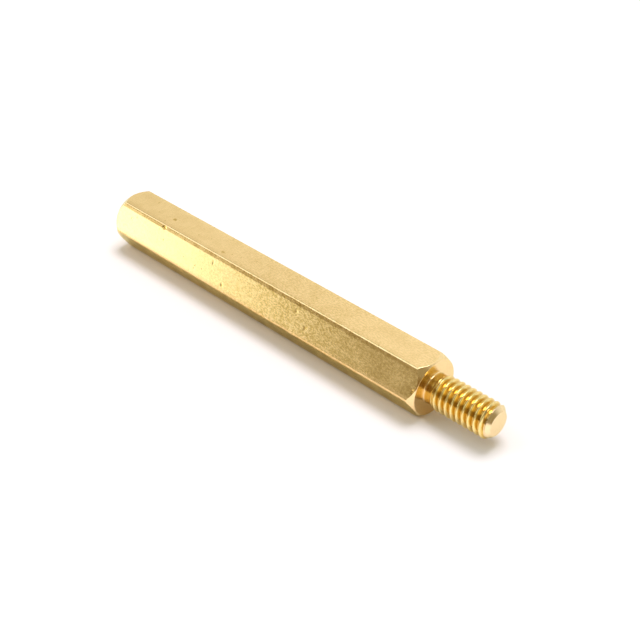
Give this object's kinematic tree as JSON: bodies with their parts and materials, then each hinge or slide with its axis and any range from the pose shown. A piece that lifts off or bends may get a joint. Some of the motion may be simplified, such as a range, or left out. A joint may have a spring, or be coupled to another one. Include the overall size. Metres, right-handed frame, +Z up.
{
  "type": "hex standoff",
  "caption": "Hexagonal brass spacer with a threaded stud at one end and a tapped hole at the other, for holding a circuit board off a panel.",
  "frame": {"origin": "centre of the turned seat face where the stud begins, on the part's axis", "axes": "+X along the axis from the tapped end towards the stud's tip, +Z up with one flat of the hexagon underneath, +Y along a line through two opposite corners of the hexagon"},
  "size_m": [0.0351, 0.0046, 0.004],
  "materials": {
    "brass": "bright drawn brass, lightly pitted on the flats and turned bright on the ends"
  },
  "bodies": {
    "root": {"standoff": "brass"}
  },
  "joints": []
}
